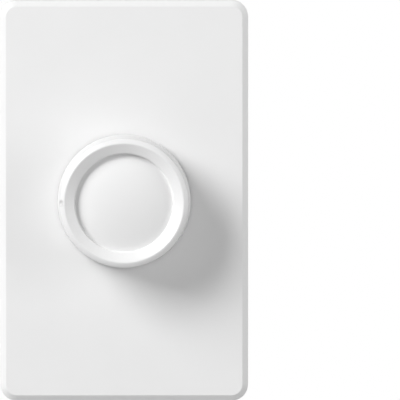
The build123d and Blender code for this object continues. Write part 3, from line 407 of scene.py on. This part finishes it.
def knob_section():
    """The rim, blends, dish wall and skirt of the knob's section, worked out as circles and straight lines.

    A slope is how far a form's normal leans from the axis, in degrees.
    A circle is its centre, its radius, its first and last slope, and 1 if it bulges or -1 if it is hollow.
    A line is a point of it, its slope, and its nearest and farthest distance from the axis.
    """
    crest = Vector((CREST_RADIUS, CREST_FORWARD))
    rim_run = SHOULDER_RADIUS - CREST_RADIUS
    shoulder = crest + Vector((rim_run, -rim_run * math.tan(math.radians(RIM_ANGLE))))
    rim_bend = (shoulder - crest).length ** 2 / (8 * RIM_BULGE) + RIM_BULGE / 2
    rim_centre = (crest + shoulder) / 2 - (rim_bend - RIM_BULGE) * leaning(RIM_ANGLE)
    skirt = Vector((SKIRT_RADIUS, SKIRT_FORWARD)) - shoulder
    skirt_slope = slope_of(Vector((-skirt.y, skirt.x)))
    crest_centre = rim_blend(rim_centre, rim_bend, crest, -DISH_ANGLE, CREST_BLEND, 1)
    shoulder_centre = rim_blend(rim_centre, rim_bend, shoulder, skirt_slope, SHOULDER_BLEND, -1)
    rim_first = slope_of(crest_centre - rim_centre)
    rim_last = slope_of(shoulder_centre - rim_centre)
    dish_drop = (CREST_RADIUS - LIP_RADIUS) * math.tan(math.radians(DISH_ANGLE))
    step_foot = CREST_FORWARD - dish_drop - STEP_HEIGHT
    dome_centre = Vector((0, step_foot - math.sqrt(DOME_RADIUS**2 - LIP_RADIUS**2)))
    step_slope = math.degrees(math.asin((LIP_RADIUS - STEP_BLEND) / (DOME_RADIUS + STEP_BLEND)))
    step_centre = dome_centre + (DOME_RADIUS + STEP_BLEND) * leaning(step_slope)
    circles = (
        (crest_centre, CREST_BLEND, -DISH_ANGLE, rim_first, 1),
        (rim_centre, rim_bend, rim_first, rim_last, 1),
        (shoulder_centre, SHOULDER_BLEND, rim_last, skirt_slope, 1),
        (step_centre, STEP_BLEND, -90.0, step_slope, -1),
    )
    dish_end = (crest_centre + CREST_BLEND * leaning(-DISH_ANGLE)).x
    skirt_start = (shoulder_centre + SHOULDER_BLEND * leaning(skirt_slope)).x
    lines = (
        (crest, -DISH_ANGLE, LIP_RADIUS + LIP_EDGE_REACH, dish_end + END_REACH),
        (shoulder, skirt_slope, skirt_start - END_REACH, SKIRT_RADIUS + END_REACH),
    )
    return circles, lines


def dimple_ball():
    """The centre and radius of the ball that the indicator's dimple is part of."""
    radius = ((DIMPLE_WIDTH / 2) ** 2 + DIMPLE_DEPTH**2) / (2 * DIMPLE_DEPTH)
    rim_drop = (DIMPLE_RADIUS - CREST_RADIUS) * math.tan(math.radians(RIM_ANGLE))
    on_rim = Vector((DIMPLE_RADIUS, CREST_FORWARD - rim_drop))
    centre = on_rim + (radius - DIMPLE_DEPTH + RIM_BULGE) * leaning(RIM_ANGLE)
    return Vector((-centre.x, -centre.y, 0.0)), radius


def turned_slope(section, place):
    """The slope of the section's form that a place lies on, or None where it lies on none of them."""
    circles, lines = section
    for centre, bend, first, last, side in circles:
        spoke = side * (place - centre)
        slope = slope_of(spoke)
        if abs(spoke.length - bend) < FORM_REACH and first - SLOPE_REACH < slope < last + SLOPE_REACH:
            return slope
    for point, slope, nearest, farthest in lines:
        if abs((place - point).dot(leaning(slope))) < FORM_REACH and nearest <= place.x <= farthest:
            return slope
    return None


def true_normal(section, ball, point, face, normal):
    """The normal of the knob's form at a corner of a face, or the frame's where no form is known."""
    radius = math.hypot(point.x, point.z)
    if radius < POLE_REACH:
        return Vector((0.0, math.copysign(1.0, face.normal.y), 0.0))
    ball_centre, ball_radius = ball
    if (face.center - ball_centre).length < ball_radius:
        formed = (ball_centre - point).normalized()
    else:
        slope = turned_slope(section, Vector((radius, -point.y)))
        if slope is None:
            return normal
        outward, forward = leaning(slope)
        formed = Vector((point.x / radius * outward, -forward, point.z / radius * outward))
    return formed if formed.angle(normal) < LARGEST_TURN else normal


def smooth_knob():
    """The frame's knob, with the normals of its rim, dish wall, skirt and dimple set to their true forms."""
    data = nodes["knob"].data.copy()
    data.name = "knob_shell"
    section = knob_section()
    ball = dimple_ball()
    normals = [corner.vector.copy() for corner in data.corner_normals]
    for face in data.polygons:
        for corner in face.loop_indices:
            point = data.vertices[data.loops[corner].vertex_index].co
            normals[corner] = true_normal(section, ball, point, face, normals[corner])
    data.normals_split_custom_set(normals)
    piece = bpy.data.objects.new("knob_shell", data)
    bpy.context.scene.collection.objects.link(piece)
    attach(piece, "knob_and_shaft")
    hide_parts("knob")


smooth_knob()


# Box screws with their threads

def thread_radius(along, angle, length, outer):
    """The shank's radius at a distance from the neck and an angle round the axis."""
    turn = (along / THREAD_PITCH - angle / math.tau) % 1.0
    ridge = 1 - abs(2 * turn - 1)
    height = THREAD_DEPTH * min(1.0, THREAD_STEEPNESS * ridge)
    runout = min(1.0, along / THREAD_PITCH)
    radius = outer - THREAD_DEPTH + height * runout
    return min(radius, outer - TIP_CHAMFER + (length - along))


def add_shank(mesh, centre_x, centre_z, start, end, outer):
    """A closed threaded shank along +Y."""
    length = end - start
    rows = round(length / THREAD_PITCH * THREAD_ROWS_PER_PITCH)
    rings = []
    for row in range(rows + 1):
        along = length * row / rows
        ring = []
        for side in range(THREAD_SIDES):
            angle = math.tau * side / THREAD_SIDES
            radius = thread_radius(along, angle, length, outer)
            x = centre_x + radius * math.cos(angle)
            z = centre_z + radius * math.sin(angle)
            ring.append(mesh.verts.new((x, start + along, z)))
        rings.append(ring)
    for lower, upper in zip(rings, rings[1:]):
        for side in range(THREAD_SIDES):
            after = (side + 1) % THREAD_SIDES
            mesh.faces.new((lower[side], upper[side], upper[after], lower[after]))
    mesh.faces.new(rings[0])
    mesh.faces.new(list(reversed(rings[-1])))


def threaded_box_screws():
    """The frame's screw heads and necks, cut off at the thread, with threaded shanks behind them."""
    low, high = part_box("box_screws")
    screw_mesh = bmesh.new()
    screw_mesh.from_mesh(nodes["box_screws"].data)
    bmesh.ops.remove_doubles(screw_mesh, verts=screw_mesh.verts, dist=WELD_REACH)
    cut = bmesh.ops.bisect_plane(
        screw_mesh,
        geom=[*screw_mesh.verts, *screw_mesh.edges, *screw_mesh.faces],
        plane_co=(0, NECK_END - NECK_OVERLAP, 0),
        plane_no=(0, 1, 0),
        clear_outer=True,
    )
    rim = [edge for edge in cut["geom_cut"] if isinstance(edge, bmesh.types.BMEdge)]
    bmesh.ops.holes_fill(screw_mesh, edges=rim)
    head_radius = (high.x - low.x) / 2
    upper_shank = [v.co for v in nodes["box_screws"].data.vertices if v.co.y > high.y / 2 and v.co.z > 0]
    outer = max(point.x for point in upper_shank)
    for centre_z in (high.z - head_radius, low.z + head_radius):
        add_shank(screw_mesh, 0.0, centre_z, NECK_END, high.y, outer)
    bmesh.ops.recalc_face_normals(screw_mesh, faces=screw_mesh.faces)
    data = bpy.data.meshes.new("box_screws_threaded")
    screw_mesh.to_mesh(data)
    screw_mesh.free()
    data.materials.append(SLOT_MATERIALS["screw_steel"])
    data.set_sharp_from_angle(angle=THREAD_SHARP_ANGLE)
    piece = bpy.data.objects.new("box_screws_threaded", data)
    bpy.context.scene.collection.objects.link(piece)
    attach(piece, "base")
    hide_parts("box_screws")


threaded_box_screws()


# Floor, light, surround and camera

def floor_paper():
    """Matt paper that is white to the eye and in reflections, and throws less light up at the object."""
    material = moulded("floor_paper", linear(*FLOOR_SEEN), roughness=(0.8, 0.9), pebble=2 * MM)
    shader = material.node_tree.nodes["Principled BSDF"]
    output = material.node_tree.nodes["Material Output"]
    dim = add_node(material, "ShaderNodeBsdfDiffuse", Color=[*linear(*FLOOR_THROWN), 1])
    mix = add_node(material, "ShaderNodeMixShader")
    join(material, any_ray(material, "Is Camera Ray", "Is Glossy Ray"), mix.inputs["Fac"])
    join(material, dim.outputs["BSDF"], mix.inputs[1])
    join(material, shader.outputs["BSDF"], mix.inputs[2])
    join(material, mix.outputs["Shader"], output.inputs["Surface"])
    return material


def floor():
    """A plain pale disc below the object."""
    low, high = cad_box
    disc = bmesh.new()
    bmesh.ops.create_circle(disc, cap_ends=True, segments=FLOOR_SIDES, radius=FLOOR_RADIUS)
    data = bpy.data.meshes.new("floor")
    disc.to_mesh(data)
    disc.free()
    data.materials.append(floor_paper())
    piece = bpy.data.objects.new("floor", data)
    piece.location = ((low.x + high.x) / 2, (low.y + high.y) / 2, low.z - FLOOR_DROP)
    bpy.context.scene.collection.objects.link(piece)


def soft_light(name, direction, distance, size, power):
    """A square area light that shines on the object's centre."""
    low, high = cad_box
    data = bpy.data.lights.new(name, "AREA")
    data.shape = "SQUARE"
    data.size = size
    data.energy = power
    lamp = bpy.data.objects.new(name, data)
    towards = Vector(direction).normalized()
    lamp.location = (low + high) / 2 + towards * distance
    lamp.rotation_mode = "QUATERNION"
    lamp.rotation_quaternion = (-towards).to_track_quat("-Z", "Y")
    bpy.context.scene.collection.objects.link(lamp)


def surround():
    """A dim surround that shows as white to the camera, in reflections and through clear things."""
    world = bpy.data.worlds.new("surround")
    world.use_nodes = True
    light = world.node_tree.nodes["Background"]
    light.inputs["Color"].default_value = (1, 1, 1, 1)
    place = add_node(world, "ShaderNodeTexCoord")
    split = add_node(world, "ShaderNodeSeparateXYZ")
    level = add_node(
        world,
        "ShaderNodeMapRange",
        **{"From Min": -1.0, "To Min": SURROUND_BELOW, "To Max": SURROUND_ABOVE},
    )
    white = add_node(world, "ShaderNodeBackground", Color=(1, 1, 1, 1), Strength=1.0)
    mix = add_node(world, "ShaderNodeMixShader")
    join(world, place.outputs["Generated"], split.inputs["Vector"])
    join(world, split.outputs["Z"], level.inputs["Value"])
    join(world, level.outputs["Result"], light.inputs["Strength"])
    join(world, any_ray(world, "Is Camera Ray", "Is Glossy Ray", "Is Transmission Ray"), mix.inputs["Fac"])
    join(world, light.outputs["Background"], mix.inputs[1])
    join(world, white.outputs["Background"], mix.inputs[2])
    join(world, mix.outputs["Shader"], world.node_tree.nodes["World Output"].inputs["Surface"])
    bpy.context.scene.world = world


def camera():
    """A long lens at the photograph's height, with the faceplate where the photograph has it."""
    low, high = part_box("faceplate")
    metres_per_px = (high.x - low.x) / (PLATE_RIGHT_PX - PLATE_LEFT_PX)
    plate_middle_px = (PLATE_LEFT_PX + PLATE_RIGHT_PX) / 2
    view_width = IMAGE_WIDTH_PX * metres_per_px
    shift = (IMAGE_WIDTH_PX / 2 - plate_middle_px) * metres_per_px
    target = Vector(((low.x + high.x) / 2 + shift, 0, (low.z + high.z) / 2))
    elevation = math.radians(CAMERA_ELEVATION)
    azimuth = math.radians(CAMERA_AZIMUTH)
    sideways = math.sin(azimuth) * math.cos(elevation)
    outwards = math.cos(azimuth) * math.cos(elevation)
    back = Vector((sideways, -outwards, math.sin(elevation)))
    data = bpy.data.cameras.new("camera")
    data.sensor_width = SENSOR_WIDTH_MM
    data.lens = SENSOR_WIDTH_MM * CAMERA_DISTANCE / view_width
    data.clip_start = CAMERA_NEAREST
    data.clip_end = CAMERA_FARTHEST
    view = bpy.data.objects.new("camera", data)
    view.location = target + back * CAMERA_DISTANCE
    view.rotation_mode = "QUATERNION"
    view.rotation_quaternion = (-back).to_track_quat("-Z", "Y")
    bpy.context.scene.collection.objects.link(view)
    bpy.context.scene.camera = view


floor()
soft_light("key", KEY_DIRECTION, KEY_DISTANCE, KEY_SIZE, KEY_POWER)
soft_light("fill", FILL_DIRECTION, FILL_DISTANCE, FILL_SIZE, FILL_POWER)
surround()
camera()
bpy.context.scene.view_settings.view_transform = "Standard"
